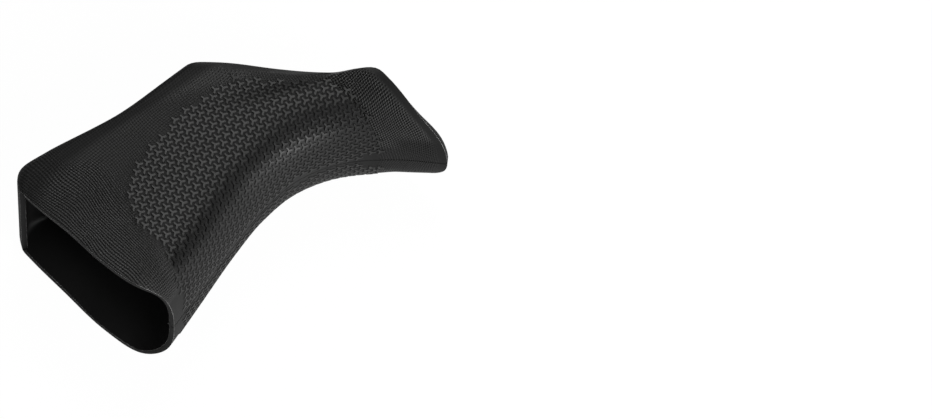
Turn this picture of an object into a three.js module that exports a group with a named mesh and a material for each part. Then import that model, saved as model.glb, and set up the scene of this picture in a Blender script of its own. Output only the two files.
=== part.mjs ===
// Rubber hood of a drop-bar brake lever: one moulded sleeve, open at the front where the lever
// leaves it and at the back where it meets the handlebar.
//
// Frame, in millimetres: the hood lies on its side, as it does off the bicycle. +X points to the
// front opening, +Y to the crown that the palm rests on, and +Z is up, across the hood's width.
// The outline is first drawn in side view, with its zero at the back end of the flat underside.

import * as THREE from 'three';

// Driving dimensions, side view: [forward, up towards the crown]
const undersideFront = [59.7, 4.6];
const undersideBack = [4.2, -2.8];
const crownFront = [42.7, 52.6];
const crownBack = [-43.6, 51.4];
const earTip = [-37.6, 26];

// Underside: rounded up to the front opening, then nearly straight
const undersideNose = [58.3, 1.2];
const undersideChin = [55.5, -1.6];
const undersideFore = [48, -2];
const undersideMiddle = [28, -0.9];
const undersideRear = [12, -2];

// Front opening: the edge leans back towards the crown
const frontEdgeLower = [58.6, 11];
const frontEdgeMiddle = [56.2, 21.5];
const frontEdgeUpper = [53.3, 35];
const frontEdgeShoulder = [49.3, 45.5];

// Crown: the palm rest dips between its two high ends
const crownFrontSlope = [30.7, 47.4];
const crownRise = [15, 40.6];
const crownForeDip = [3.2, 36.2];
const crownDip = [-8.2, 34.2];
const crownBackSlope = [-20.3, 36.3];
const crownBackUpper = [-33.2, 43.2];

// Back opening: a straight edge up to the ears, then up to the crown
const backEdgeHeel = [-1, 0.2];
const backEdgeLow = [-8, 4.7];
const backEdgeMiddle = [-28, 19.6];
const backEdgeEar = [-33.5, 23];
const backEdgeRise = [-38.8, 30.5];
const backEdgeUpper = [-40.8, 42.5];
const backEdgeShoulder = [-43.2, 49.2];

// Half widths, across the hood
const sideHalfWidth = 18.3;
const chinHalfWidth = 17.6;
const frontHalfWidth = 20.2;
const earHalfWidth = 20.2;
const heelHalfWidth = 20.2;

// Stations from the front opening (0) to the back opening (1), and what changes from one to
// the next: how far the sides step in towards the crown, and the crown arch's height and how
// square it is
const stations = [0, 0.45, 0.82, 1];
const waistDepths = [0, 1, 2, 1];
const archHeights = [15, 15, 22, 26];
const archPowers = [3, 2.3, 2.6, 1.95];

// Depth below the crown at which the sides step in, and half the height of that step
const waistDrop = 14;
const waistSpread = 7;

// Flares, as shares of the hood's length and of a section's height
const frontFlareEnd = 0.3;
const frontFlareTop = 0.5;
const earBottom = 0.5;
const earTop = 0.63;
const heelTop = 0.32;

// How far forward of the back opening its ears and heel start to flare out
const earLength = 12;
const heelLength = 24;

// Hollow in each side between the heel and the ear
const dipDepth = 1.4;
const dipStart = 0.6;
const dipEnd = 0.9;
const dipMiddle = 0.42;
const dipSpread = 0.3;

// Rounding of the two bottom edges, tight at the front opening
const edgeRadiusFront = 1.5;
const edgeRadiusBody = 4;
const edgeRadiusEnd = 0.15;

const wallFront = 1.5;
const wallBody = 2;
const wallTaperLength = 12;

// Mesh density
const rowsAlong = 34;
const stepsPerHalf = 26;
const outlineSamples = 400;
const rowsNearBack = 0.45;

function curveThrough(points) {
  const places = points.map(([forward, up]) => new THREE.Vector3(forward, up, 0));
  return new THREE.CatmullRomCurve3(places, false, 'centripetal');
}

const frontEdge = curveThrough([
  undersideFront,
  frontEdgeLower,
  frontEdgeMiddle,
  frontEdgeUpper,
  frontEdgeShoulder,
  crownFront,
]);

const backEdge = curveThrough([
  undersideBack,
  backEdgeHeel,
  backEdgeLow,
  backEdgeMiddle,
  backEdgeEar,
  earTip,
  backEdgeRise,
  backEdgeUpper,
  backEdgeShoulder,
  crownBack,
]);

const crown = curveThrough([
  crownFront,
  crownFrontSlope,
  crownRise,
  crownForeDip,
  crownDip,
  crownBackSlope,
  crownBackUpper,
  crownBack,
]);

const underside = curveThrough([
  undersideFront,
  undersideNose,
  undersideChin,
  undersideFore,
  undersideMiddle,
  undersideRear,
  undersideBack,
]);

const frontEdgeLength = frontEdge.getLength();
const backEdgeLength = backEdge.getLength();
const crownLength = crown.getLength();
const undersideLength = underside.getLength();

function smooth(value) {
  const t = THREE.MathUtils.clamp(value, 0, 1);
  return t * t * (3 - 2 * t);
}

// The value at a place along the hood, eased from station to station
function valueAlong(values, along) {
  let value = values[0];
  for (let i = 1; i < stations.length; i += 1) {
    const share = smooth((along - stations[i - 1]) / (stations[i] - stations[i - 1]));
    value += (values[i] - values[i - 1]) * share;
  }
  return value;
}

// Side view place for along = 0 (front) to 1 (back), up = 0 (underside) to 1 (crown):
// the sheet that spans the four guide curves
function sidePlace(along, up) {
  const place = new THREE.Vector3();
  place.addScaledVector(frontEdge.getPointAt(up), 1 - along);
  place.addScaledVector(backEdge.getPointAt(up), along);
  place.addScaledVector(underside.getPointAt(along), 1 - up);
  place.addScaledVector(crown.getPointAt(along), up);
  place.addScaledVector(frontEdge.getPointAt(0), -(1 - along) * (1 - up));
  place.addScaledVector(frontEdge.getPointAt(1), -(1 - along) * up);
  place.addScaledVector(backEdge.getPointAt(0), -along * (1 - up));
  place.addScaledVector(backEdge.getPointAt(1), -along * up);
  return place;
}

function sectionHeight(along) {
  return THREE.MathUtils.lerp(frontEdgeLength, backEdgeLength, along);
}

// Half width of the side wall at a depth below the crown, before the arch closes it
function sideWidth(along, depth) {
  const up = 1 - depth / sectionHeight(along);
  const aboveStep = 1 - smooth((depth - waistDrop + waistSpread) / (2 * waistSpread));
  const waist = sideHalfWidth - valueAlong(waistDepths, along) * aboveStep;
  const nearFront = 1 - smooth(along / frontFlareEnd);
  const frontWidth = THREE.MathUtils.lerp(chinHalfWidth, frontHalfWidth, smooth(up / frontFlareTop));
  const lengthHere = THREE.MathUtils.lerp(undersideLength, crownLength, up);
  const fromBack = (1 - along) * lengthHere;
  const dipAlong = smooth((along - dipStart) / (dipEnd - dipStart));
  const dip = dipDepth * dipAlong * smooth(1 - Math.abs(up - dipMiddle) / dipSpread);
  const earShare = smooth((up - earBottom) / (earTop - earBottom)) * (1 - smooth(fromBack / earLength));
  const heelShare = (1 - smooth(up / heelTop)) * (1 - smooth(fromBack / heelLength));
  return waist - dip + (frontWidth - waist) * nearFront
    + (earHalfWidth - waist) * earShare
    + (heelHalfWidth - waist) * heelShare;
}

// Closed half of a section: [depth below the crown, half width], from crown to underside
function halfSection(along) {
  const height = sectionHeight(along);
  const archHeight = valueAlong(archHeights, along);
  const power = valueAlong(archPowers, along);
  const radius = THREE.MathUtils.lerp(edgeRadiusFront, edgeRadiusBody, smooth(along / edgeRadiusEnd));
  const outline = [];
  for (let i = 0; i <= outlineSamples; i += 1) {
    const turn = (i / outlineSamples) * (Math.PI / 2);
    const depth = archHeight * (1 - Math.cos(turn) ** (2 / power));
    const share = Math.sin(turn) ** (2 / power);
    outline.push([depth, sideWidth(along, depth) * share]);
  }
  const sideEnd = height - radius;
  for (let i = 1; i <= outlineSamples; i += 1) {
    const depth = THREE.MathUtils.lerp(archHeight, sideEnd, i / outlineSamples);
    outline.push([depth, sideWidth(along, depth)]);
  }
  const bottomHalfWidth = sideWidth(along, sideEnd);
  for (let i = 1; i <= outlineSamples; i += 1) {
    const turn = (i / outlineSamples) * (Math.PI / 2);
    const depth = sideEnd + radius * Math.sin(turn);
    outline.push([depth, bottomHalfWidth - radius * (1 - Math.cos(turn))]);
  }
  outline.push([height, 0]);
  return outline;
}

// The same half section at evenly spaced places along its outline
function spacedHalfSection(along) {
  const outline = halfSection(along);
  const reach = [0];
  for (let i = 1; i < outline.length; i += 1) {
    const deeper = outline[i][0] - outline[i - 1][0];
    const wider = outline[i][1] - outline[i - 1][1];
    reach.push(reach[i - 1] + Math.hypot(deeper, wider));
  }
  const total = reach[reach.length - 1];
  const spaced = [];
  let segment = 1;
  for (let step = 0; step <= stepsPerHalf; step += 1) {
    const wanted = (total * step) / stepsPerHalf;
    while (segment < reach.length - 1 && reach[segment] < wanted) {
      segment += 1;
    }
    const span = reach[segment] - reach[segment - 1];
    const share = span > 0 ? (wanted - reach[segment - 1]) / span : 0;
    spaced.push([
      THREE.MathUtils.lerp(outline[segment - 1][0], outline[segment][0], share),
      THREE.MathUtils.lerp(outline[segment - 1][1], outline[segment][1], share),
    ]);
  }
  return spaced;
}

// One ring of places round the hood, from the crown down one side and up the other
function ring(along) {
  const height = sectionHeight(along);
  const half = spacedHalfSection(along);
  const places = half.map(([depth, halfWidth]) => {
    const place = sidePlace(along, THREE.MathUtils.clamp(1 - depth / height, 0, 1));
    place.z = halfWidth;
    return place;
  });
  for (let step = stepsPerHalf - 1; step > 0; step -= 1) {
    const mirrored = places[step].clone();
    mirrored.z = -mirrored.z;
    places.push(mirrored);
  }
  return places;
}

// Rows lie closer together towards the back opening
function rowPlace(row) {
  const share = row / (rowsAlong - 1);
  return THREE.MathUtils.lerp(share, Math.sin((share * Math.PI) / 2), rowsNearBack);
}

function outerRings() {
  const rings = [];
  for (let row = 0; row < rowsAlong; row += 1) {
    rings.push(ring(rowPlace(row)));
  }
  return rings;
}

// Each ring moved inwards by the wall, along the surface's own normal
function innerRings(rings) {
  const count = rings[0].length;
  return rings.map((places, row) => places.map((place, step) => {
    const before = rings[Math.max(row - 1, 0)][step];
    const after = rings[Math.min(row + 1, rings.length - 1)][step];
    const backwards = after.clone().sub(before);
    const round = places[(step + 1) % count].clone().sub(places[(step - 1 + count) % count]);
    const normal = round.cross(backwards).normalize();
    const fromFront = place.distanceTo(rings[0][step]);
    const wall = THREE.MathUtils.lerp(wallFront, wallBody, smooth(fromFront / wallTaperLength));
    return place.clone().addScaledVector(normal, wall);
  }));
}

// Outer and inner wall, joined by a strip round each opening
function shellGeometry(outer, inner) {
  const count = outer[0].length;
  const places = [];
  const faces = [];
  [...outer, ...inner].flat().forEach((place) => places.push(place.x, place.y, place.z));
  const innerStart = outer.length * count;
  const addQuad = (a, b, c, d) => faces.push(a, b, c, a, c, d);
  for (let row = 0; row < outer.length - 1; row += 1) {
    for (let step = 0; step < count; step += 1) {
      const next = (step + 1) % count;
      const here = row * count;
      const beyond = here + count;
      addQuad(here + step, beyond + step, beyond + next, here + next);
      addQuad(
        innerStart + here + step,
        innerStart + here + next,
        innerStart + beyond + next,
        innerStart + beyond + step,
      );
    }
  }
  const lastRow = (outer.length - 1) * count;
  for (let step = 0; step < count; step += 1) {
    const next = (step + 1) % count;
    addQuad(step, next, innerStart + next, innerStart + step);
    addQuad(lastRow + next, lastRow + step, innerStart + lastRow + step, innerStart + lastRow + next);
  }
  const geometry = new THREE.BufferGeometry();
  geometry.setAttribute('position', new THREE.Float32BufferAttribute(places, 3));
  geometry.setIndex(faces);
  return geometry;
}

// Centred over its own footprint, with its lowest point at zero
function stand(geometry) {
  geometry.computeBoundingBox();
  const box = geometry.boundingBox;
  const centre = box.getCenter(new THREE.Vector3());
  geometry.translate(-centre.x, -centre.y, -box.min.z);
  geometry.computeVertexNormals();
  return geometry;
}

const outer = outerRings();
const rubber = new THREE.MeshStandardMaterial({ color: 0x1c1c1c, roughness: 0.62, metalness: 0 });
const hood = new THREE.Mesh(stand(shellGeometry(outer, innerRings(outer))), rubber);
hood.name = 'hood';

const group = new THREE.Group();
group.add(hood);

export default group;
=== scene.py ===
"""Rubber hood of a drop-bar brake lever, lying on its side on a pale studio floor.

The sleeve is rolled up from a flat grid over the sections of the moulded shape. The grip's
three-armed studs are modelled once and laid over the sleeve's sides and crown. Ribs, knurling
and grain are too fine for the mesh and are bumps in the rubber.

Sections are worked out in millimetres in the hood's side view: x forward, y up to the crown,
zero at the back end of the flat underside. Meshes are in metres, in the frame's own place.
"""

import math

import bpy
import numpy as np
from mathutils import Matrix, Vector
from mathutils.bvhtree import BVHTree


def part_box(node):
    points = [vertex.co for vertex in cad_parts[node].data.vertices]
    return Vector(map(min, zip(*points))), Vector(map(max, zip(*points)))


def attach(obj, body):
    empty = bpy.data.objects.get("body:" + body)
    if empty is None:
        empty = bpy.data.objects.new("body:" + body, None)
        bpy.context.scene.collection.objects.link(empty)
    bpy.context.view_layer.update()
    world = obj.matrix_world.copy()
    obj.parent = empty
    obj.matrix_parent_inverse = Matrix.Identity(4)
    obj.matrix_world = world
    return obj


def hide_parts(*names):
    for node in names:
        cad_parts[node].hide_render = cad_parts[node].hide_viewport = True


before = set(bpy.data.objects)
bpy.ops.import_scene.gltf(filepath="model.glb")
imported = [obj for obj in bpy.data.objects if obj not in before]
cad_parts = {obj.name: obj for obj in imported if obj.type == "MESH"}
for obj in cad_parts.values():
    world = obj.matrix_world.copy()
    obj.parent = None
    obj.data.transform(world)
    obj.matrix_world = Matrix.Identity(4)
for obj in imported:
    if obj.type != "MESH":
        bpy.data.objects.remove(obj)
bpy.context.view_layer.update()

bl_info = {
    "name": "Brake lever hood",
    "version": (1, 0, 0),
    "blender": (4, 5, 0),
    "location": "View3D > Sidebar > Lever hood",
    "description": "Builds the rubber sleeve of a brake lever with its grip studs and studio",
    "category": "Object",
}

MM = 0.001

# ---- The sleeve's guide curves, side view, mm: (forward, up)

FRONT_EDGE = (
    (59.7, 4.6), (58.6, 11.0), (56.2, 21.5), (53.3, 35.0), (49.3, 45.5), (42.7, 52.6),
)
BACK_EDGE = (
    (4.2, -2.8), (-1.0, 0.2), (-8.0, 4.7), (-28.0, 19.6), (-33.5, 23.0), (-37.6, 26.0),
    (-38.8, 30.5), (-40.8, 42.5), (-43.2, 49.2), (-43.6, 51.4),
)
CROWN = (
    (42.7, 52.6), (30.7, 47.4), (15.0, 40.6), (3.2, 36.2), (-8.2, 34.2), (-20.3, 36.3),
    (-33.2, 43.2), (-43.6, 51.4),
)
UNDERSIDE = (
    (59.7, 4.6), (58.3, 1.2), (55.5, -1.6), (48.0, -2.0), (28.0, -0.9), (12.0, -2.0),
    (4.2, -2.8),
)

# Half widths across the hood, mm
SIDE_WIDTH = 18.3
CHIN_WIDTH = 17.6
FRONT_WIDTH = 20.2
EAR_WIDTH = 20.2
HEEL_WIDTH = 20.2

# Front opening (0) to back opening (1): step in below the crown, and the crown arch
STATIONS = (0.0, 0.45, 0.82, 1.0)
WAIST_DEPTHS = (0.0, 1.0, 2.0, 1.0)
ARCH_HEIGHTS = (15.0, 15.0, 22.0, 26.0)
ARCH_POWERS = (3.0, 2.3, 2.6, 1.95)
WAIST_DROP = 14.0
WAIST_SPREAD = 7.0

FRONT_FLARE_END = 0.3
FRONT_FLARE_TOP = 0.5
EAR_BOTTOM = 0.5
EAR_TOP = 0.63
HEEL_TOP = 0.32
EAR_LENGTH = 12.0
HEEL_LENGTH = 24.0
DIP_DEPTH = 1.4
DIP_START = 0.6
DIP_END = 0.9
DIP_MIDDLE = 0.42
DIP_SPREAD = 0.3
EDGE_RADIUS_FRONT = 1.5
EDGE_RADIUS_BODY = 4.0
EDGE_RADIUS_END = 0.15

# Grip panel, side view, mm: it runs on over the crown to the other side
PANEL = (
    (25.6, 13.4), (34.7, 17.9), (37.9, 23.7), (39.7, 34.2), (37.6, 40.8), (38.6, 44.9),
    (38.5, 60.0), (-31.2, 60.0), (-30.8, 48.1), (-30.3, 45.5), (-29.6, 37.0), (-28.1, 26.8),
    (-25.6, 21.1), (-5.6, 7.1), (0.7, 7.2), (11.5, 8.2),
)

# Mesh density of the sleeve, and of the coarse sheet that is laid flat
ROWS = 150
SIDE_STEPS = 88
COARSE_ROWS = 46
COARSE_STEPS = 32
CREST_STEPS_MM = (0.0, 0.3, 0.75)
# Share by which the rows crowd towards the back
ROW_CROWDING = 0.45

# Studs, m: how deep they are rooted, and how far their tops are set in from their sides
STUD_ROOT = 0.0001
STUD_TOP_INSET = 0.00009
# The studs' lattice on the unrolled sleeve: degrees, and one stud's place in mm
LATTICE_TURN = 43.3
LATTICE_REACH = 60
LATTICE_START = (5.0, 25.0)
ARM_TURN = 45.0
# Distance that the studs keep from the parting line, mm, and how much more at the back
STUD_GAP = 1.3
STUD_GAP_BACK = 3.0
STUD_GAP_RANGE = (-24.0, -28.0)
CROWN_STUD_HEIGHT = 0.6

# Where the skin changes. Each pair is where a change starts and where it is full: side view
# place, run round from the crown or distance from a rim, in mm, or the upward part of the normal
BACK_RIBS = (-20.0, -28.0)
CROWN_WEAVE = (28.0, 14.0)
FOOT_WEAVE = (44.0, 54.0)
FRONT_LIP = (0.1, 0.5)
BACK_LIP = (1.6, 4.2)
BARE_FORWARD = (33.0, 36.0)
BARE_ROUND = (15.0, 12.0)
PANEL_EDGE = (-1.2, 0.0)
# Bands of painted shade, where the skin is also rougher: lower edge, back lip, hollow by the
# crest, crown's back end
SHADE_FOOT = (-8.0, -3.0)
SHADE_FOOT_FROM_BACK = (-1.0, 3.0)
SHADE_LIP = (3.6, 1.6)
SHADE_LIP_UP = (24.0, 30.0)
SHADE_CREST = (-17.0, -31.0)
SHADE_CREST_ROUND = (9.5, 4.5)
SHADE_TAIL = (-30.0, -35.0)
SHADE_TAIL_ROUND = (12.0, 8.0)
DISHED_FROM_SIDE = (0.95, 0.89)
DISHED_FROM_CROWN = (0.6, 0.76)
DISHED_FRONT = (46.0, 36.0)
DISHED_BACK = (-30.0, -20.0)
STUD_HEIGHT_RISE = (0.35, 0.85)
# Studs facing up get painted light, and those in the dished band painted shade
PAINTED_LIGHT_FLAT = (0.88, 0.98)
DISHED_STUD_SHADE = 0.35

# Fine ribs on the unrolled sleeve: noise scale and reach in mm of their waves, and their lean
SWAY = (90, 4.0)
DRIFT = (70, 4.0)
LEAN = (0.0035, -0.03)
LEAN_LEVEL = 25.0
CROSS_LEAN = -0.14
GRAIN_HEIGHT_MM = 0.03

# Soft lights: degrees round from +X and up from the floor, then their distance and side in m
LIGHTS = {
    "top_light": (225, 62),
    "front_light": (105, 12),
    "fill_light": (90, 40),
    "back_light": (210, 12),
}
LIGHT_DISTANCE = 1.4
LIGHT_SIZE = 0.5
LIGHT_AIM = Vector((0, 0, 0.02))
HOOD_MIDDLE = Vector((0, 0, 0.0202))

# Where the front ribs end, side view, mm: (up, forward)
RIB_END = ((5.1, 46.5), (9.5, 38.5), (22.7, 38.8), (34.6, 41.8), (45.0, 40.5), (60.0, 38.0))


def smooth(value):
    t = np.clip(value, 0.0, 1.0)
    return t * t * (3 - 2 * t)


def eased(value, start, end):
    """0 where the value is at start, 1 where it is at end."""
    return smooth((value - start) / (end - start))


def lerp(start, end, share):
    return start + (end - start) * share


class GuideCurve:
    """A centripetal curve through points, read by its share of length."""

    def __init__(self, points, samples=80):
        knots = [np.array(point, float) for point in points]
        knots.insert(0, 2 * knots[0] - knots[1])
        knots.append(2 * knots[-1] - knots[-2])
        t = np.linspace(0, 1, samples, endpoint=False)[:, None]
        runs = []
        for before, start, end, after in zip(knots, knots[1:], knots[2:], knots[3:]):
            gap0 = np.linalg.norm(start - before) ** 0.5
            gap1 = np.linalg.norm(end - start) ** 0.5
            gap2 = np.linalg.norm(after - end) ** 0.5
            leave = (start - before) / gap0 - (end - before) / (gap0 + gap1) + (end - start) / gap1
            arrive = (end - start) / gap1 - (after - start) / (gap1 + gap2) + (after - end) / gap2
            leave, arrive = leave * gap1, arrive * gap1
            square = -3 * start + 3 * end - 2 * leave - arrive
            cube = 2 * start - 2 * end + leave + arrive
            runs.append(start + leave * t + square * t**2 + cube * t**3)
        self.places = np.vstack(runs + [knots[-2][None]])
        steps = np.linalg.norm(np.diff(self.places, axis=0), axis=1)
        self.reach = np.concatenate([[0], np.cumsum(steps)])
        self.length = self.reach[-1]

    def at(self, share):
        wanted = np.asarray(share) * self.length
        return np.stack([np.interp(wanted, self.reach, self.places[:, i]) for i in (0, 1)], -1)


front_edge = GuideCurve(FRONT_EDGE)
back_edge = GuideCurve(BACK_EDGE)
crown = GuideCurve(CROWN)
underside = GuideCurve(UNDERSIDE)


def value_along(values, along):
    """A station value, eased from station to station."""
    value = values[0]
    for i in range(1, len(STATIONS)):
        share = smooth((along - STATIONS[i - 1]) / (STATIONS[i] - STATIONS[i - 1]))
        value = value + (values[i] - values[i - 1]) * share
    return value


def side_place(along, up):
    """Side view place of the sheet that spans the four guide curves."""
    up = np.asarray(up)[:, None]
    place = front_edge.at(up[:, 0]) * (1 - along) + back_edge.at(up[:, 0]) * along
    place = place + underside.at(along) * (1 - up) + crown.at(along) * up
    place = place - front_edge.at(0) * (1 - along) * (1 - up) - front_edge.at(1) * (1 - along) * up
    return place - back_edge.at(0) * along * (1 - up) - back_edge.at(1) * along * up


def section_height(along):
    return lerp(front_edge.length, back_edge.length, along)


def side_width(along, depth):
    """Half width of the side wall at a depth below the crown."""
    up = 1 - depth / section_height(along)
    above_step = 1 - smooth((depth - WAIST_DROP + WAIST_SPREAD) / (2 * WAIST_SPREAD))
    waist = SIDE_WIDTH - value_along(WAIST_DEPTHS, along) * above_step
    near_front = 1 - smooth(along / FRONT_FLARE_END)
    front = lerp(CHIN_WIDTH, FRONT_WIDTH, smooth(up / FRONT_FLARE_TOP))
    from_back = (1 - along) * lerp(underside.length, crown.length, up)
    dip_along = smooth((along - DIP_START) / (DIP_END - DIP_START))
    dip = DIP_DEPTH * dip_along * smooth(1 - np.abs(up - DIP_MIDDLE) / DIP_SPREAD)
    ear = smooth((up - EAR_BOTTOM) / (EAR_TOP - EAR_BOTTOM)) * (1 - smooth(from_back / EAR_LENGTH))
    heel = (1 - smooth(up / HEEL_TOP)) * (1 - smooth(from_back / HEEL_LENGTH))
    return (
        waist - dip + (front - waist) * near_front
        + (EAR_WIDTH - waist) * ear + (HEEL_WIDTH - waist) * heel
    )


def half_section(along, samples=400):
    """Depth below the crown, half width and run from the crown, down to the underside."""
    height = section_height(along)
    arch = value_along(ARCH_HEIGHTS, along)
    power = value_along(ARCH_POWERS, along)
    radius = lerp(EDGE_RADIUS_FRONT, EDGE_RADIUS_BODY, smooth(along / EDGE_RADIUS_END))
    turn = np.linspace(0, math.pi / 2, samples + 1)
    arch_depth = arch * (1 - np.cos(turn) ** (2 / power))
    arch_width = side_width(along, arch_depth) * np.sin(turn) ** (2 / power)
    side_end = height - radius
    side_depth = np.linspace(arch, side_end, samples + 1)[1:]
    edge_depth = side_end + radius * np.sin(turn[1:])
    edge_width = side_width(along, side_end) - radius * (1 - np.cos(turn[1:]))
    depth = np.concatenate([arch_depth, side_depth, edge_depth, [height]])
    width = np.concatenate([arch_width, side_width(along, side_depth), edge_width, [0.0]])
    run = np.concatenate([[0], np.cumsum(np.hypot(np.diff(depth), np.diff(width)))])
    return depth, width, run, arch, side_end


def row_place(row):
    share = row / (ROWS - 1)
    return lerp(share, math.sin(share * math.pi / 2), ROW_CROWDING)


def unrolled_sheet(places, start, held, rounds=40):
    """Lays a half sheet flat with as little stretch as it can, from a rough start.

    Each triangle is turned as it best fits, and all are then joined again, some rounds over.
    """
    rows, steps = places.shape[:2]
    index = np.arange(rows * steps).reshape(rows, steps)
    a, b, c, d = index[:-1, :-1], index[1:, :-1], index[1:, 1:], index[:-1, 1:]
    triangles = np.concatenate([
        np.stack([a, b, c], -1).reshape(-1, 3), np.stack([a, c, d], -1).reshape(-1, 3)
    ])
    corners = places.reshape(-1, 3)[triangles]
    base, side = corners[:, 1] - corners[:, 0], corners[:, 2] - corners[:, 0]
    length = np.linalg.norm(base, axis=1)
    reach = np.sum(side * base, axis=1) / length
    rise = np.sqrt(np.clip(np.sum(side * side, axis=1) - reach * reach, 1e-9, None))
    shape = np.zeros((len(triangles), 3, 2))
    shape[:, 1, 0], shape[:, 2, 0], shape[:, 2, 1] = length, reach, rise
    ends = ((1, 2, 0), (2, 0, 1), (0, 1, 2))
    weights, wanted = [], []
    for i, j, opposite in ends:
        one, other = shape[:, i] - shape[:, opposite], shape[:, j] - shape[:, opposite]
        area = np.abs(one[:, 0] * other[:, 1] - one[:, 1] * other[:, 0])
        weights.append(np.clip(np.sum(one * other, axis=1) / area, 0.02, 20))
        wanted.append(shape[:, i] - shape[:, j])
    matrix = np.zeros((rows * steps, rows * steps))
    for (i, j, _), weight in zip(ends, weights):
        first, second = triangles[:, i], triangles[:, j]
        np.add.at(matrix, (first, first), weight)
        np.add.at(matrix, (second, second), weight)
        np.add.at(matrix, (first, second), -weight)
        np.add.at(matrix, (second, first), -weight)
    fixed = np.flatnonzero(held.ravel())
    free = np.flatnonzero(~held.ravel())
    solve = np.linalg.inv(matrix[np.ix_(free, free)])
    flat = start.reshape(-1, 2).copy()
    pull = matrix[np.ix_(free, fixed)] @ flat[fixed]
    for _ in range(rounds):
        spread = np.zeros((len(triangles), 2, 2))
        for (i, j, _), weight, want in zip(ends, weights, wanted):
            gap = flat[triangles[:, i]] - flat[triangles[:, j]]
            spread += weight[:, None, None] * gap[:, :, None] * want[:, None, :]
        angle = np.arctan2(spread[:, 1, 0] - spread[:, 0, 1], spread[:, 0, 0] + spread[:, 1, 1])
        cos, sin = np.cos(angle), np.sin(angle)
        target = np.zeros_like(flat)
        for (i, j, _), weight, want in zip(ends, weights, wanted):
            turned = np.column_stack([
                cos * want[:, 0] - sin * want[:, 1], sin * want[:, 0] + cos * want[:, 1]
            ]) * weight[:, None]
            np.add.at(target, triangles[:, i], turned)
            np.add.at(target, triangles[:, j], -turned)
        flat[free] = solve @ (target[free] - pull)
    return flat.reshape(rows, steps, 2)


def resampled(values, old_rows, old_steps, rows, steps):
    """Values on a coarse grid of rows and steps, read on a fine one."""
    tall = np.stack([
        np.stack([np.interp(rows, old_rows, values[:, j, k]) for j in range(len(old_steps))], 1)
        for k in range(values.shape[2])
    ], 2)
    return np.stack([
        np.stack([np.interp(steps, old_steps, tall[i, :, k]) for i in range(len(rows))], 0)
        for k in range(values.shape[2])
    ], 2)


def sleeve_sheet():
    """Half of the outer skin as rows of places, with what the rubber's texture follows.

    Returns, for each row and step, the place (mm), the unrolled place (mm), the distance to
    each rim, the run round from the crown and the run on from the side's lower end.
    """
    places, rounds, feet, rough, held = [], [], [], [], []
    for row in range(ROWS):
        along = row_place(row)
        depth, width, run, arch, side_end = half_section(along)
        height = section_height(along)
        even = np.linspace(CREST_STEPS_MM[-1], run[-1], SIDE_STEPS + 1)
        wanted = np.concatenate([CREST_STEPS_MM[:-1], even])
        depths = np.interp(wanted, run, depth)
        widths = np.interp(wanted, run, width)
        flat = side_place(along, np.clip(1 - depths / height, 0, 1))
        places.append(np.column_stack([flat, widths]))
        rounds.append(wanted)
        # A rough start for laying the sheet flat: straight on from the side, up and down
        top, foot = side_place(along, [1 - arch / height, (height - side_end) / height])
        upwards = (top - foot) / np.linalg.norm(top - foot)
        above = np.clip(np.interp(arch, depth[:-2], run[:-2]) - wanted, 0, None)[:, None]
        from_side = wanted - np.interp(side_end, depth[:-2], run[:-2])
        feet.append(from_side)
        under = np.clip(from_side, 0, None)[:, None]
        laid = np.where(above > 0, top + upwards * above, flat)
        rough.append(np.where(under > 0, foot - upwards * under, laid))
        held.append((above[:, 0] == 0) & (under[:, 0] == 0))
    places, rounds, rough = np.array(places), np.array(rounds), np.array(rough)
    rows = np.unique(np.linspace(0, ROWS - 1, COARSE_ROWS).astype(int))
    steps = np.unique(np.linspace(0, places.shape[1] - 1, COARSE_STEPS).astype(int))
    coarse = np.ix_(rows, steps)
    laid = unrolled_sheet(places[coarse], rough[coarse], np.array(held)[coarse])
    # Steps differ in width beside the crown's mid-line, so they are read by their run
    unrolled = resampled(laid, rows, rounds[0, steps] / rounds[0, -1], np.arange(ROWS),
                         rounds[0] / rounds[0, -1])
    steps = np.linalg.norm(np.diff(places, axis=0), axis=2)
    from_front = np.vstack([np.zeros(steps.shape[1]), np.cumsum(steps, axis=0)])
    from_back = from_front[-1] - from_front
    return places, unrolled, rounds, from_front, from_back, np.array(feet)


sheet, flat_sheet, crown_run, front_run, back_run, foot_run = sleeve_sheet()

# The frame stands the hood over the middle of its footprint
side_low = sheet.reshape(-1, 3).min(axis=0)
side_high = sheet.reshape(-1, 3).max(axis=0)
cad_low, cad_high = (np.array(corner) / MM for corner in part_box("hood"))
stand = np.array([
    cad_high[0] - side_high[0],
    cad_low[1] - side_low[1],
    (cad_low[2] + cad_high[2]) / 2,
])


def in_panel(forward, up):
    """Whether side view places lie inside the grip panel."""
    inside = np.zeros(np.shape(forward), bool)
    for (x0, y0), (x1, y1) in zip(PANEL, PANEL[1:] + PANEL[:1]):
        crosses = (y0 > up) != (y1 > up)
        edge = x0 + (up - y0) * (x1 - x0) / ((y1 - y0) or 1)
        inside ^= crosses & (forward < edge)
    return inside


def from_panel_edge(forward, up):
    """Distance of side view places to the panel's outline, mm, negative inside it."""
    nearest = np.full(np.shape(forward), 1e9)
    for (x0, y0), (x1, y1) in zip(PANEL, PANEL[1:] + PANEL[:1]):
        dx, dy = x1 - x0, y1 - y0
        share = np.clip(((forward - x0) * dx + (up - y0) * dy) / (dx * dx + dy * dy), 0, 1)
        nearest = np.minimum(nearest, np.hypot(forward - x0 - share * dx, up - y0 - share * dy))
    return np.where(in_panel(forward, up), -nearest, nearest)


# ---- Small helpers for modelling


def select_none():
    if bpy.context.object and bpy.context.object.mode != "OBJECT":
        bpy.ops.object.mode_set(mode="OBJECT")
    bpy.ops.object.select_all(action="DESELECT")


def apply_all(obj):
    """Applies the modifiers in order, then the object's own place."""
    select_none()
    bpy.context.view_layer.objects.active = obj
    obj.select_set(True)
    for modifier in list(obj.modifiers):
        bpy.ops.object.modifier_apply(modifier=modifier.name)
    bpy.ops.object.transform_apply(location=True, rotation=True, scale=True)


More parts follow.
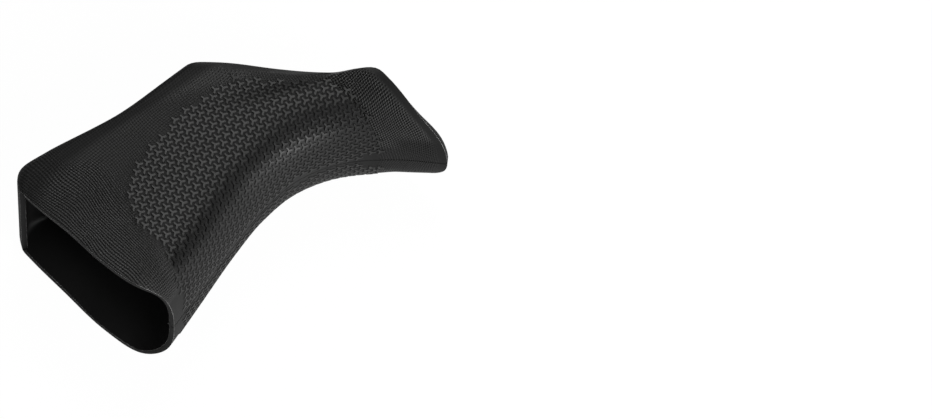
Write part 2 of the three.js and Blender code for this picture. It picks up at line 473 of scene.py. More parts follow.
def add_attribute(mesh, name, values, kind="FLOAT"):
    attribute = mesh.attributes.new(name, kind, "POINT")
    field = "vector" if kind == "FLOAT_VECTOR" else "value"
    attribute.data.foreach_set(field, np.ascontiguousarray(values, np.float32).ravel())


def take_over(obj, *nodes):
    """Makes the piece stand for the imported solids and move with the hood's one body."""
    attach(obj, "root")
    if nodes:
        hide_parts(*nodes)


# ---- Rubber


def new_group(name, inputs, outputs):
    """A node group with (name, default) number inputs and named number outputs."""
    group = bpy.data.node_groups.new(name, "ShaderNodeTree")
    for socket, default in inputs:
        made = group.interface.new_socket(socket, in_out="INPUT", socket_type="NodeSocketFloat")
        made.default_value = default
    for socket in outputs:
        group.interface.new_socket(socket, in_out="OUTPUT", socket_type="NodeSocketFloat")
    start = group.nodes.new("NodeGroupInput")
    end = group.nodes.new("NodeGroupOutput")
    return group, start, end


def feed(tree, socket, value):
    """Sets a socket to a plain number, or links another node's output to it."""
    if isinstance(value, (int, float)):
        socket.default_value = value
    else:
        tree.links.new(value, socket)


def math_node(tree, operation, *values):
    node = tree.nodes.new("ShaderNodeMath")
    node.operation = operation
    for socket, value in zip(node.inputs, values):
        feed(tree, socket, value)
    return node.outputs[0]


def noise_node(tree, vector, scale, detail):
    node = tree.nodes.new("ShaderNodeTexNoise")
    node.inputs["Detail"].default_value = detail
    feed(tree, node.inputs["Scale"], scale)
    tree.links.new(vector, node.inputs["Vector"])
    return node.outputs["Fac"]


def attribute_node(tree, name):
    node = tree.nodes.new("ShaderNodeAttribute")
    node.attribute_name = name
    return node


def wave_group():
    """Rounded ribs: a run in mm and a pitch in mm give a height from 0 to 1."""
    group, start, end = new_group("rib wave", (("Run", 0.0), ("Pitch", 1.0)), ("Height",))
    turns = math_node(group, "DIVIDE", start.outputs["Run"], start.outputs["Pitch"])
    angle = math_node(group, "MULTIPLY", turns, 2 * math.pi)
    wave = math_node(group, "COSINE", angle)
    height = math_node(group, "MULTIPLY_ADD", wave, 0.5, 0.5)
    group.links.new(height, end.inputs["Height"])
    return group


def grain_group():
    """Matt moulded skin: fine pits, slow unevenness, and dust-like lighter specks."""
    group, start, end = new_group(
        "moulded grain", (("Fine Size", 0.25), ("Slow Size", 6.0)), ("Height", "Shade")
    )
    coordinates = group.nodes.new("ShaderNodeTexCoord").outputs["Object"]
    fine_scale = math_node(group, "DIVIDE", 1 / MM, start.outputs["Fine Size"])
    slow_scale = math_node(group, "DIVIDE", 1 / MM, start.outputs["Slow Size"])
    fine = noise_node(group, coordinates, fine_scale, 3)
    slow = noise_node(group, coordinates, slow_scale, 2)
    group.links.new(fine, end.inputs["Height"])
    shade = math_node(group, "ADD", fine, slow)
    group.links.new(math_node(group, "MULTIPLY", shade, 0.5), end.inputs["Shade"])
    return group


def use_group(tree, group, **values):
    node = tree.nodes.new("ShaderNodeGroup")
    node.node_tree = group
    for name, value in values.items():
        feed(tree, node.inputs[name.replace("_", " ")], value)
    return node


def start_rubber(name, colour, roughness, specular):
    """A rubber material with its shader set, ready for colour and height nodes."""
    material = bpy.data.materials.new(name)
    material.use_nodes = True
    tree = material.node_tree
    tree.nodes.clear()
    shader = tree.nodes.new("ShaderNodeBsdfPrincipled")
    output = tree.nodes.new("ShaderNodeOutputMaterial")
    tree.links.new(shader.outputs[0], output.inputs["Surface"])
    shader.inputs["Base Color"].default_value = (*colour, 1)
    shader.inputs["Roughness"].default_value = roughness
    shader.inputs["Specular IOR Level"].default_value = specular
    return material, tree, shader


def tint(tree, shader, colour, shade, low, high):
    """Base colour times a factor that runs from low to high with the shade."""
    factor = math_node(tree, "MULTIPLY_ADD", shade, high - low, low)
    mix = tree.nodes.new("ShaderNodeMix")
    mix.data_type = "RGBA"
    mix.blend_type = "MULTIPLY"
    mix.inputs["Factor"].default_value = 1
    mix.inputs[6].default_value = (*colour, 1)
    combine = tree.nodes.new("ShaderNodeCombineColor")
    for i in range(3):
        tree.links.new(factor, combine.inputs[i])
    tree.links.new(combine.outputs[0], mix.inputs[7])
    tree.links.new(mix.outputs[2], shader.inputs["Base Color"])


def bump(tree, shader, height_mm):
    node = tree.nodes.new("ShaderNodeBump")
    node.inputs["Strength"].default_value = 1
    node.inputs["Distance"].default_value = MM
    tree.links.new(height_mm, node.inputs["Height"])
    tree.links.new(node.outputs["Normal"], shader.inputs["Normal"])


def ribbed_rubber(settings, wave, grain):
    """Outer skin: two crossing sets of fine ribs over a matt grain, with smooth lips."""
    material, tree, shader = start_rubber(
        "ribbed rubber", settings.colour, settings.roughness, settings.sheen
    )
    laid = tree.nodes.new("ShaderNodeSeparateXYZ")
    tree.links.new(attribute_node(tree, "laid_out").outputs["Vector"], laid.inputs[0])
    forward, up = laid.outputs[0], laid.outputs[1]
    zones = tree.nodes.new("ShaderNodeSeparateXYZ")
    tree.links.new(attribute_node(tree, "zones").outputs["Vector"], zones.inputs[0])
    # Mask of the painted shade bands, where the skin is also rougher
    dull = attribute_node(tree, "dull").outputs["Fac"]
    coordinates = tree.nodes.new("ShaderNodeTexCoord").outputs["Object"]
    pitch = settings.rib_pitch / MM
    swaying = noise_node(tree, coordinates, SWAY[0], 0)
    sway = math_node(tree, "MULTIPLY_ADD", swaying, SWAY[1], forward)
    drifting = noise_node(tree, coordinates, DRIFT[0], 0)
    drift = math_node(tree, "MULTIPLY_ADD", drifting, DRIFT[1], up)
    # The ribs' lean changes along the hood
    lean = math_node(tree, "MULTIPLY_ADD", forward, *LEAN)
    above = math_node(tree, "SUBTRACT", up, LEAN_LEVEL)
    turned = math_node(tree, "MULTIPLY_ADD", above, lean, sway)
    crossing = math_node(tree, "MULTIPLY_ADD", forward, CROSS_LEAN, drift)
    ribs = use_group(tree, wave, Run=turned, Pitch=pitch)
    cross = use_group(tree, wave, Run=crossing, Pitch=pitch)
    relief = math_node(tree, "MULTIPLY", ribs.outputs[0], zones.outputs[0])
    relief = math_node(tree, "MULTIPLY_ADD", cross.outputs[0], zones.outputs[1], relief)
    skin = use_group(tree, grain)
    raised = math_node(tree, "MULTIPLY", relief, settings.rib_height / MM)
    bump(
        tree, shader,
        math_node(tree, "MULTIPLY_ADD", skin.outputs["Height"], GRAIN_HEIGHT_MM, raised),
    )
    # Painted shade in the grooves, on the ground between the studs and in the painted shade bands,
    # and painted light on the rib tops
    shade = math_node(tree, "MULTIPLY_ADD", relief, 2 * settings.groove_shade, 1.0)
    strength = math_node(tree, "ADD", zones.outputs[0], zones.outputs[1])
    lift = settings.rib_lift - settings.groove_shade
    shade = math_node(tree, "MULTIPLY_ADD", strength, lift, shade)
    ground = math_node(tree, "MULTIPLY_ADD", zones.outputs[2], -settings.ground_shade, 1.0)
    shade = math_node(tree, "MULTIPLY", shade, ground)
    shade = math_node(tree, "MAXIMUM", shade, 0.04)
    # The ground between the studs and the painted shade bands are rougher too
    rough = math_node(tree, "MULTIPLY_ADD", dull, 0.35, settings.roughness)
    rough = math_node(tree, "MULTIPLY_ADD", zones.outputs[2], 0.15, rough)
    tree.links.new(rough, shader.inputs["Roughness"])
    # Painted shade in the bands; the grain's tone is the rubber's own
    grained = math_node(tree, "MULTIPLY_ADD", skin.outputs["Shade"], 0.5, 0.75)
    faded = math_node(tree, "MULTIPLY_ADD", dull, -0.7, 1.0)
    dark = math_node(tree, "MULTIPLY", math_node(tree, "MULTIPLY", grained, faded), shade)
    tint(tree, shader, settings.colour, dark, 0.0, 1.0)
    return material


def plain_rubber(
    name, colour, roughness, grain, low=0.8, high=1.2, relief=GRAIN_HEIGHT_MM, size=0.25,
    sheen=0.5,
):
    material, tree, shader = start_rubber(name, colour, roughness, sheen)
    skin = use_group(tree, grain, Fine_Size=size)
    bump(tree, shader, math_node(tree, "MULTIPLY", skin.outputs["Height"], relief))
    tint(tree, shader, colour, skin.outputs["Shade"], low, high)
    return material


def stud_rubber(settings, grain):
    """Studs: like the skin on the crown, with painted light on the flat sides and painted shade in
    the dished band.
    """
    material, tree, shader = start_rubber(
        "stud rubber", settings.colour, settings.roughness, settings.sheen
    )
    worn = attribute_node(tree, "worn").outputs["Fac"]
    skin = use_group(tree, grain)
    bump(tree, shader, math_node(tree, "MULTIPLY", skin.outputs["Height"], GRAIN_HEIGHT_MM))
    # Painted light on the flat sides, painted shade in the dished band
    factor = math_node(tree, "MULTIPLY_ADD", worn, settings.stud_painted_light * 2, 1.0)
    grained = math_node(tree, "MULTIPLY_ADD", skin.outputs["Shade"], 0.6, 0.7)
    tint(tree, shader, settings.colour, math_node(tree, "MULTIPLY", grained, factor), 0.0, 1.0)
    return material


# ---- Settings


def length_property(name, description, default, low, high):
    return bpy.props.FloatProperty(
        name=name, description=description, default=default, min=low, max=high,
        unit="LENGTH", subtype="DISTANCE", precision=5,
    )


def factor_property(name, description, default):
    return bpy.props.FloatProperty(
        name=name, description=description, default=default, min=0, max=1, subtype="FACTOR"
    )


def colour_property(name, description, default):
    return bpy.props.FloatVectorProperty(
        name=name, description=description, default=default, min=0, max=1,
        subtype="COLOR", size=3,
    )


class HoodSleeveSettings(bpy.types.PropertyGroup):
    wall: length_property(
        "Wall", "Thickness of the rubber away from the front edge", 0.002, 0.0005, 0.005
    )
    front_wall: length_property(
        "Front wall", "Thickness of the rubber at the front edge", 0.0015, 0.0005, 0.005
    )
    line_depth: length_property(
        "Parting line depth", "Depth of the mould's line along the crown", 0.00045, 0, 0.001
    )
    rim_round: length_property(
        "Rim rounding", "Width of the bevel round both openings", 0.00035, 0, 0.0007
    )


class HoodStudSettings(bpy.types.PropertyGroup):
    pitch: length_property(
        "Stud pitch", "Distance between neighbouring studs at the panel's middle",
        0.0023, 0.0015, 0.006,
    )
    height: length_property(
        "Stud height", "How far the studs stand out of the rubber", 0.00036, 0.0001, 0.001
    )
    arm_length: length_property(
        "Arm length", "From a stud's middle to the end of an arm", 0.0012, 0.0004, 0.003
    )
    arm_width: length_property("Arm width", "Width of a stud's arm", 0.0006, 0.0002, 0.002)


class HoodRubberSettings(bpy.types.PropertyGroup):
    colour: colour_property("Rubber", "Colour of the moulded rubber", (0.026, 0.026, 0.0255))
    # The inner wall is darker than the skin as painted shade inside the sleeve
    inside_shade_colour: colour_property(
        "Inside", "Colour of the rubber's inner wall", (0.008, 0.008, 0.008)
    )
    # The cut edges are darker than the skin as painted shade
    rim_colour: colour_property(
        "Trimmed edge", "Colour of the cut edges round the openings", (0.01, 0.01, 0.01)
    )
    # Painted highlight on the bevels round the cut edges, made ragged by the grain
    rim_highlight_colour: colour_property(
        "Rim highlight", "Colour of the ragged edges of the cuts", (0.5, 0.5, 0.495)
    )
    # Painted light on the studs of the flat sides
    stud_painted_light: factor_property(
        "Stud painted light", "How much lighter the studs are on the flat sides", 0.9
    )
    roughness: factor_property("Roughness", "Roughness of the outer skin", 0.45)
    sheen: factor_property("Sheen", "How strongly the outer skin shines", 0.45)
    # Painted shade in the grooves between the ribs, and painted light on ribbed skin
    groove_shade: bpy.props.FloatProperty(
        name="Groove shade", description="How much darker the grooves between the ribs are",
        default=1.3, min=0, max=2,
    )
    rib_lift: factor_property(
        "Rib lift", "How much lighter ribbed skin is than smooth skin", 0.35
    )
    # Painted shade on the ground between the studs
    ground_shade: factor_property(
        "Ground shade", "How much darker the ground between the studs is", 0.55
    )
    rib_pitch: length_property(
        "Rib pitch", "Distance between the fine ribs", 0.00072, 0.0003, 0.003
    )
    rib_height: length_property("Rib height", "Relief of the fine ribs", 0.00036, 0, 0.0006)


class HoodStudioSettings(bpy.types.PropertyGroup):
    floor_colour: bpy.props.FloatVectorProperty(
        name="Floor", description="Colour of the studio floor",
        subtype="COLOR", size=3, default=(0.8, 0.8, 0.8), min=0, max=1,
    )
    top_light: bpy.props.FloatProperty(
        name="Top light", description="Power of the soft light high behind the hood",
        default=3.6, min=0, unit="POWER",
    )
    front_light: bpy.props.FloatProperty(
        name="Front light", description="Power of the soft light low in front of the crown",
        default=11.0, min=0, unit="POWER",
    )
    fill_light: bpy.props.FloatProperty(
        name="Fill light", description="Power of the soft light half way up before the crown",
        default=3.2, min=0, unit="POWER",
    )
    back_light: bpy.props.FloatProperty(
        name="Back light", description="Power of the soft light low behind the hood",
        default=2.2, min=0, unit="POWER",
    )
    floor_sheen: bpy.props.FloatProperty(
        name="Floor sheen", description="How bright the floor is where the rubber mirrors it",
        default=0.35, min=0,
    )
    world_light: bpy.props.FloatProperty(
        name="Surroundings", description="Strength of the light from all round",
        default=0.09, min=0,
    )


# ---- Pieces


def grid_normals(places):
    """Outward normals of a half sheet whose first and last steps lie in the mid-plane."""
    rows = np.gradient(places, axis=0)
    mirrored = places * np.array([1, 1, -1])
    wide = np.concatenate([mirrored[:, 1:2], places, mirrored[:, -2:-1]], axis=1)
    rounds = wide[:, 2:] - wide[:, :-2]
    normals = np.cross(rows, rounds)
    return normals / np.linalg.norm(normals, axis=2, keepdims=True)


class HOOD_OT_sleeve(bpy.types.Operator):
    """Roll a grid into the moulded sleeve, with its wall, parting line and rounded rims"""

    bl_idname = "hood.sleeve"
    bl_label = "Sleeve"

    def execute(self, context):
        settings = context.scene.hood_sleeve
        places = sheet.copy()
        places[:, 0] -= grid_normals(sheet)[:, 0] * settings.line_depth / MM
        steps = places.shape[1]
        select_none()
        bpy.ops.mesh.primitive_grid_add(
            x_subdivisions=2 * steps - 2, y_subdivisions=ROWS - 1, size=0.1, location=(0, 0, 0)
        )
        sleeve = context.object
        sleeve.name = "rubber_sleeve"
        mesh = sleeve.data

        def whole(half, flip=1.0):
            """The half sheet's values with the other half behind it, back at the start."""
            other = half[:, ::-1][:, 1:].copy()
            if half.ndim == 3:
                other[..., -1] *= flip
            return np.concatenate([half, other], axis=1)

        around = whole(places, -1.0) + stand
        mesh.vertices.foreach_set("co", (around * MM).astype(np.float32).ravel())
        zones = zone_masks()
        laid = np.pad(flat_sheet, ((0, 0), (0, 0), (0, 1)))
        add_attribute(mesh, "laid_out", whole(laid), "FLOAT_VECTOR")
        add_attribute(mesh, "zones", whole(zones), "FLOAT_VECTOR")
        # Painted shade bands, where the skin is also rougher
        add_attribute(mesh, "dull", whole(painted_shade_bands()))
        wall = lerp(settings.front_wall, settings.wall, smooth(front_run / 12.0)) / settings.wall
        group = sleeve.vertex_groups.new(name="wall")
        for index, weight in enumerate(whole(wall).ravel()):
            group.add([index], float(weight), "REPLACE")

        bpy.ops.object.mode_set(mode="EDIT")
        bpy.ops.mesh.select_all(action="SELECT")
        bpy.ops.mesh.remove_doubles(threshold=0.01 * MM)
        bpy.ops.mesh.normals_make_consistent(inside=False)
        bpy.ops.object.mode_set(mode="OBJECT")

        solidify = sleeve.modifiers.new("wall", "SOLIDIFY")
        solidify.thickness = settings.wall
        solidify.offset = -1
        solidify.vertex_group = "wall"
        solidify.thickness_vertex_group = 0
        solidify.use_rim = True
        solidify.material_offset = 1
        solidify.material_offset_rim = 2
        for name in ("ribbed rubber", "inner rubber", "trimmed rubber", "worn edge"):
            mesh.materials.append(bpy.data.materials[name])
        bpy.ops.object.modifier_apply(modifier="wall")

        face_kind = np.empty(len(mesh.polygons), np.int32)
        mesh.polygons.foreach_get("material_index", face_kind)
        weight = mesh.attributes.new("bevel_weight_edge", "FLOAT", "EDGE")
        edge_rim, edge_other = set(), set()
        for polygon in mesh.polygons:
            kind = edge_rim if polygon.material_index == 2 else edge_other
            kind.update(polygon.edge_keys)
        both = edge_rim & edge_other
        for edge in mesh.edges:
            if edge.key in both:
                weight.data[edge.index].value = 1.0
        # The bevel faces round the rims take the painted highlight
        bevel = sleeve.modifiers.new("rims", "BEVEL")
        bevel.limit_method = "WEIGHT"
        bevel.width = settings.rim_round
        bevel.segments = 2
        bevel.material = 3
        apply_all(sleeve)
        bpy.ops.object.shade_smooth_by_angle(angle=math.radians(50))
        take_over(sleeve, "hood")
        return {"FINISHED"}


def bare_front():
    """The front end of the crown, which is left smooth."""
    return eased(sheet[..., 0], *BARE_FORWARD) * eased(crown_run, *BARE_ROUND)


def zone_masks():
    """Height of the ribs, height of the cross ribs, and the painted shade on the ground between
    the studs.
    """
    forward, up = sheet[..., 0], sheet[..., 1]
    rib_end = np.interp(up, [at for at, _ in RIB_END], [at for _, at in RIB_END])
    front = eased(forward, rib_end - 3, rib_end + 3)
    back = eased(forward, *BACK_RIBS)
    near_crown = eased(crown_run, *CROWN_WEAVE)
    near_foot = eased(crown_run, *FOOT_WEAVE)
    lips = eased(front_run, *FRONT_LIP) * eased(back_run, *BACK_LIP)
    outside = eased(from_panel_edge(forward, up), *PANEL_EDGE)
    # Ribs fade and the ground's painted shade eases off in the painted shade bands
    dull = painted_shade_bands()
    drawn = outside * lips * (1 - bare_front()) * (1 - 0.6 * dull)
    ribs = drawn * (0.25 + 0.75 * np.maximum(front, back))
    cross = drawn * (0.25 + front * np.maximum(near_crown * 0.75, near_foot * 0.15) + back * 0.75)
    # Painted shade on the ground between the studs
    ground = (1 - outside) * lips * (1 - 0.7 * dull)
    return np.stack([ribs, cross, ground], axis=2)


def dished_share(upright):
    """How far a normal's upward part is that of the dished band below the crown's shoulder."""
    return eased(upright, *DISHED_FROM_SIDE) * eased(upright, *DISHED_FROM_CROWN)


def painted_shade_bands():
    """Painted shade bands, where the skin is also rougher, 0 to 1 over the sheet."""
    forward, up = sheet[..., 0], sheet[..., 1]
    # Each band is painted shade: lower edge, back lip, hollow by the crest, crown's back end,
    # smooth crown front, dished band, parting line
    foot = eased(foot_run, *SHADE_FOOT) * eased(back_run, *SHADE_FOOT_FROM_BACK)
    lip = eased(back_run, *SHADE_LIP) * eased(up, *SHADE_LIP_UP)
    crest = eased(forward, *SHADE_CREST) * eased(crown_run, *SHADE_CREST_ROUND)
    tail = eased(forward, *SHADE_TAIL) * eased(crown_run, *SHADE_TAIL_ROUND)
    dished = dished_share(grid_normals(sheet)[..., 2])
    dished = dished * eased(forward, *DISHED_FRONT) * eased(forward, *DISHED_BACK)
    line = np.where(crown_run < 0.1, 1.0, 0.0)
    return np.maximum.reduce([
        foot * 0.9, lip * 0.9, crest, tail, bare_front() * 0.7, dished * 0.6, line
    ])


class HOOD_OT_studs(bpy.types.Operator):
    """Model one three-armed stud and lay its copies over the grip panel"""

    bl_idname = "hood.studs"
    bl_label = "Grip studs"

    def execute(self, context):
        settings = context.scene.hood_studs
        select_none()
        bpy.ops.mesh.primitive_circle_add(
            vertices=12, radius=settings.arm_length, fill_type="NGON", location=(0, 0, 0)
        )
        stud = context.object
        self.shape_arms(stud.data, settings)
        bpy.ops.object.mode_set(mode="EDIT")
        bpy.ops.mesh.select_all(action="SELECT")
        bpy.ops.mesh.extrude_region_move(
            TRANSFORM_OT_translate={"value": (0, 0, STUD_ROOT + settings.height * 0.4)}
        )
        bpy.ops.mesh.inset(thickness=STUD_TOP_INSET, depth=settings.height * 0.6)
        bpy.ops.object.mode_set(mode="OBJECT")
        shape = np.empty(len(stud.data.vertices) * 3, np.float32)
        stud.data.vertices.foreach_get("co", shape)
        shape = shape.reshape(-1, 3) / MM
        faces = [tuple(polygon.vertices) for polygon in stud.data.polygons]
        bpy.data.objects.remove(stud)
        shape[:, 2] -= STUD_ROOT / MM

        places, worn = self.lay_out(shape, settings)
        count = len(places) // len(shape)
        mesh = bpy.data.meshes.new("grip_studs")
        all_faces = []
        for start in range(0, count * len(shape), len(shape)):
            all_faces.extend(tuple(start + corner for corner in face) for face in faces)
        mesh.from_pydata((places * MM).tolist(), [], all_faces)
        add_attribute(mesh, "worn", worn)
        mesh.materials.append(bpy.data.materials["stud rubber"])
        studs = bpy.data.objects.new("grip_studs", mesh)
        context.scene.collection.objects.link(studs)
        select_none()
        context.view_layer.objects.active = studs
        studs.select_set(True)
        bpy.ops.object.mode_set(mode="EDIT")
        bpy.ops.mesh.select_all(action="SELECT")
        bpy.ops.mesh.normals_make_consistent(inside=False)
        bpy.ops.object.mode_set(mode="OBJECT")
        bpy.ops.object.shade_smooth_by_angle(angle=math.radians(40))
        take_over(studs)
        return {"FINISHED"}

    def shape_arms(self, mesh, settings):
        """Turns the twelve corners of the disc into three arms with waisted sides."""
        half = settings.arm_width / 2
        notch = settings.arm_width * 0.62
        corner = math.asin(min(half / settings.arm_length, 1))
        points = []
        for arm in range(3):
            middle = arm * 2 * math.pi / 3
            for turn, reach in (
                (-corner, settings.arm_length * 0.97), (0.0, settings.arm_length * 1.05),
                (corner, settings.arm_length * 0.97), (math.pi / 3, notch),
            ):
                angle = middle + turn
                points.append((reach * math.cos(angle), reach * math.sin(angle)))
        for vertex, (x, y) in zip(mesh.vertices, points):
            vertex.co = (x, y, 0)

    def lay_out(self, shape, settings):
        """Every stud's corners on the sleeve, in mm, for both sides of the hood."""
        rows, steps = sheet.shape[:2]
        corners = [Vector((u, v, 0)) for u, v in flat_sheet.reshape(-1, 2)]
        index = np.arange(rows * steps).reshape(rows, steps)
        quads = np.stack([index[:-1, :-1], index[1:, :-1], index[1:, 1:], index[:-1, 1:]], -1)
        quads = quads.reshape(-1, 4)
        triangles = np.concatenate([quads[:, [0, 1, 2]], quads[:, [0, 2, 3]]])
        tree = BVHTree.FromPolygons(corners, triangles.tolist(), epsilon=0.0)
        flat = flat_sheet.reshape(-1, 2)
        places = sheet.reshape(-1, 3)
        lifts = grid_normals(sheet).reshape(-1, 3)

        def on_sleeve(points):
            """Place, normal and reach off the sheet for unrolled points."""
            found, normal, missed = [], [], []
            for u, v in points:
                hit, _, face, away = tree.find_nearest(Vector((u, v, 0)))
                a, b, c = triangles[face]
                (ua, va), (ub, vb), (uc, vc) = flat[a], flat[b], flat[c]
                span = (vb - vc) * (ua - uc) + (uc - ub) * (va - vc)
                wa = ((vb - vc) * (hit.x - uc) + (uc - ub) * (hit.y - vc)) / span
                wb = ((vc - va) * (hit.x - uc) + (ua - uc) * (hit.y - vc)) / span
                wc = 1 - wa - wb
                found.append(places[a] * wa + places[b] * wb + places[c] * wc)
                normal.append(lifts[a] * wa + lifts[b] * wb + lifts[c] * wc)
                missed.append(away)
            return np.array(found), np.array(normal), np.array(missed)

        pitch = settings.pitch / MM
        lattice_turn = math.radians(LATTICE_TURN)
        arm_turn = math.radians(ARM_TURN)
        first = np.array([math.cos(lattice_turn), math.sin(lattice_turn)]) * pitch
        across = lattice_turn + math.pi / 3
        second = np.array([math.cos(across), math.sin(across)]) * pitch
        reach = range(-LATTICE_REACH, LATTICE_REACH + 1)
        centres = np.array([first * i + second * j for i in reach for j in reach])
        centres = centres + np.array(LATTICE_START)
        low, high = flat.min(axis=0), flat.max(axis=0)
        keep = np.all((centres > low - 1) & (centres < high + 1), axis=1)
        centres = centres[keep]
        found, facing, missed = on_sleeve(centres)
        room = from_panel_edge(found[:, 0], found[:, 1])
        # The studs stop short of the parting line, and further from it near the back
        keep_off = STUD_GAP + STUD_GAP_BACK * eased(found[:, 0], *STUD_GAP_RANGE)
        keep = (missed < 0.01) & (room < 0) & (found[:, 2] > keep_off)
        centres = centres[keep]
        upright = facing[keep][:, 2]
        flatness = eased(upright, *STUD_HEIGHT_RISE)
        cos, sin = math.cos(arm_turn), math.sin(arm_turn)
        turned = shape[:, :2] @ np.array([[cos, sin], [-sin, cos]])
        result = []
        for centre, flat_share in zip(centres, flatness):
            on, up, _ = on_sleeve(turned + centre)
            up = up / np.linalg.norm(up, axis=1, keepdims=True)
            result.append(on + up * shape[:, 2:] * lerp(CROWN_STUD_HEIGHT, 1.0, flat_share))
        near = np.concatenate(result)
        far = near * np.array([1, 1, -1])
        # Painted light on studs facing up, painted shade in the dished band
        worn = eased(upright, *PAINTED_LIGHT_FLAT) - DISHED_STUD_SHADE * dished_share(upright)
        worn = np.repeat(worn, len(shape))
        return np.concatenate([near, far]) + stand, np.concatenate([worn, worn])


class HOOD_OT_rubber(bpy.types.Operator):
    """Make the rubber for the skin, the inner wall, the trimmed edges and the studs"""

    bl_idname = "hood.rubber"
    bl_label = "Rubber"

    def execute(self, context):
        settings = context.scene.hood_rubber
        wave = wave_group()
        grain = grain_group()
        ribbed_rubber(settings, wave, grain)
        # The inner wall's darker colour is painted shade
        plain_rubber("inner rubber", settings.inside_shade_colour, 0.5, grain)
        # The cut edges' darker colour is painted shade
        plain_rubber("trimmed rubber", settings.rim_colour, 0.6, grain, 0.5, 1.5, sheen=0.2)
        # Painted highlight on the rim bevels, ragged with the grain
        plain_rubber("worn edge", settings.rim_highlight_colour, 0.6, grain, -2.2, 4.0, 0.2, 0.7)
        stud_rubber(settings, grain)
        return {"FINISHED"}


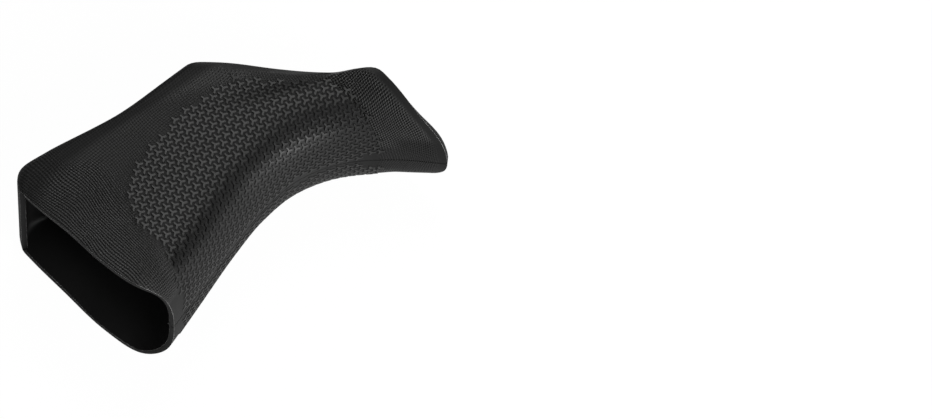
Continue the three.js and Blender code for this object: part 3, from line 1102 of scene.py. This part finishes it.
class HOOD_OT_studio(bpy.types.Operator):
    """Set up the pale floor, the soft lights and the camera"""

    bl_idname = "hood.studio"
    bl_label = "Studio"

    def execute(self, context):
        settings = context.scene.hood_studio
        scene = context.scene
        select_none()
        bpy.ops.mesh.primitive_plane_add(size=4, location=(0, 0, 0))
        floor = context.object
        floor.name = "floor"
        floor.data.materials.append(self.floor_material(settings))
        self.surroundings(scene, settings)
        for name, (turn, rise) in LIGHTS.items():
            self.soft_light(name, getattr(settings, name), turn, rise)
        self.camera(scene)
        scene.view_settings.view_transform = "Standard"
        return {"FINISHED"}

    def floor_material(self, settings):
        material = bpy.data.materials.new("floor")
        material.use_nodes = True
        tree = material.node_tree
        tree.nodes.clear()
        shader = tree.nodes.new("ShaderNodeBsdfPrincipled")
        shader.inputs["Base Color"].default_value = (*settings.floor_colour, 1)
        shader.inputs["Roughness"].default_value = 0.9
        glow = tree.nodes.new("ShaderNodeEmission")
        glow.inputs["Strength"].default_value = 1.05
        path = tree.nodes.new("ShaderNodeLightPath")
        mix = tree.nodes.new("ShaderNodeMixShader")
        output = tree.nodes.new("ShaderNodeOutputMaterial")
        share = math_node(tree, "MULTIPLY", path.outputs["Is Camera Ray"], 0.93)
        share = math_node(
            tree, "MULTIPLY_ADD", path.outputs["Is Glossy Ray"], settings.floor_sheen, share
        )
        tree.links.new(share, mix.inputs[0])
        tree.links.new(shader.outputs[0], mix.inputs[1])
        tree.links.new(glow.outputs[0], mix.inputs[2])
        tree.links.new(mix.outputs[0], output.inputs["Surface"])
        return material

    def surroundings(self, scene, settings):
        world = bpy.data.worlds.new("studio")
        world.use_nodes = True
        tree = world.node_tree
        tree.nodes.clear()
        path = tree.nodes.new("ShaderNodeLightPath")
        background = tree.nodes.new("ShaderNodeBackground")
        output = tree.nodes.new("ShaderNodeOutputWorld")
        strength = math_node(
            tree, "MULTIPLY_ADD", path.outputs["Is Camera Ray"],
            1.0 - settings.world_light, settings.world_light,
        )
        tree.links.new(strength, background.inputs["Strength"])
        background.inputs["Color"].default_value = (1, 1, 1, 1)
        tree.links.new(background.outputs[0], output.inputs["Surface"])
        scene.world = world

    def soft_light(self, name, power, turn, rise):
        """A square light aimed at the hood, at degrees round from +X and up from the floor."""
        turn, rise = math.radians(turn), math.radians(rise)
        out = Vector((
            math.cos(turn) * math.cos(rise), math.sin(turn) * math.cos(rise), math.sin(rise)
        ))
        bpy.ops.object.light_add(type="AREA", location=out * LIGHT_DISTANCE + LIGHT_AIM)
        light = bpy.context.object
        light.name = name
        light.data.energy = power
        light.data.size = LIGHT_SIZE
        light.rotation_euler = (-out).to_track_quat("-Z", "Y").to_euler()

    def camera(self, scene):
        """Looks from the hood's front, its crown side and high above, nearly without depth."""
        azimuth, elevation = math.radians(147.2), math.radians(63.0)
        distance, pixels_per_m = 2.5, 3800.0
        frame_width, frame_height = 932, 419
        hood_at = (230.1, 182.3)
        out = Vector((
            math.sin(azimuth) * math.cos(elevation),
            -math.cos(azimuth) * math.cos(elevation),
            math.sin(elevation),
        ))
        right = Vector((math.cos(azimuth), math.sin(azimuth), 0))
        above = out.cross(right)
        aim = HOOD_MIDDLE + right * (frame_width / 2 - hood_at[0]) / pixels_per_m
        aim = aim + above * (hood_at[1] - frame_height / 2) / pixels_per_m
        place = HOOD_MIDDLE + out * distance
        bpy.ops.object.camera_add(location=place)
        camera = bpy.context.object
        camera.name = "camera"
        look = (aim - place).normalized()
        side = look.cross(above).normalized()
        top = side.cross(look)
        camera.rotation_euler = Matrix((side, top, -look)).transposed().to_euler()
        camera.data.sensor_width = 36.0
        camera.data.lens = pixels_per_m * distance / frame_width * camera.data.sensor_width
        camera.data.clip_end = 20
        scene.camera = camera


class HOOD_PT_panel(bpy.types.Panel):
    """Sizes, colours and steps of the lever hood"""

    bl_idname = "HOOD_PT_panel"
    bl_label = "Lever hood"
    bl_space_type = "VIEW_3D"
    bl_region_type = "UI"
    bl_category = "Lever hood"

    def draw(self, context):
        for title, group in SETTINGS:
            box = self.layout.box()
            box.label(text=title)
            settings = getattr(context.scene, group)
            for name in settings.__annotations__:
                box.prop(settings, name)
        for operator in OPERATORS:
            self.layout.operator(operator.bl_idname)


SETTINGS = (
    ("Sleeve", "hood_sleeve"),
    ("Grip studs", "hood_studs"),
    ("Rubber", "hood_rubber"),
    ("Studio", "hood_studio"),
)
GROUPS = {
    "hood_sleeve": HoodSleeveSettings,
    "hood_studs": HoodStudSettings,
    "hood_rubber": HoodRubberSettings,
    "hood_studio": HoodStudioSettings,
}
OPERATORS = (HOOD_OT_rubber, HOOD_OT_sleeve, HOOD_OT_studs, HOOD_OT_studio)


def register():
    for name, group in GROUPS.items():
        bpy.utils.register_class(group)
        setattr(bpy.types.Scene, name, bpy.props.PointerProperty(type=group))
    for operator in OPERATORS:
        bpy.utils.register_class(operator)
    bpy.utils.register_class(HOOD_PT_panel)


def unregister():
    bpy.utils.unregister_class(HOOD_PT_panel)
    for operator in reversed(OPERATORS):
        bpy.utils.unregister_class(operator)
    for name, group in GROUPS.items():
        delattr(bpy.types.Scene, name)
        bpy.utils.unregister_class(group)


def main():
    register()
    bpy.ops.hood.rubber()
    bpy.ops.hood.sleeve()
    bpy.ops.hood.studs()
    bpy.ops.hood.studio()


if __name__ == "__main__":
    main()
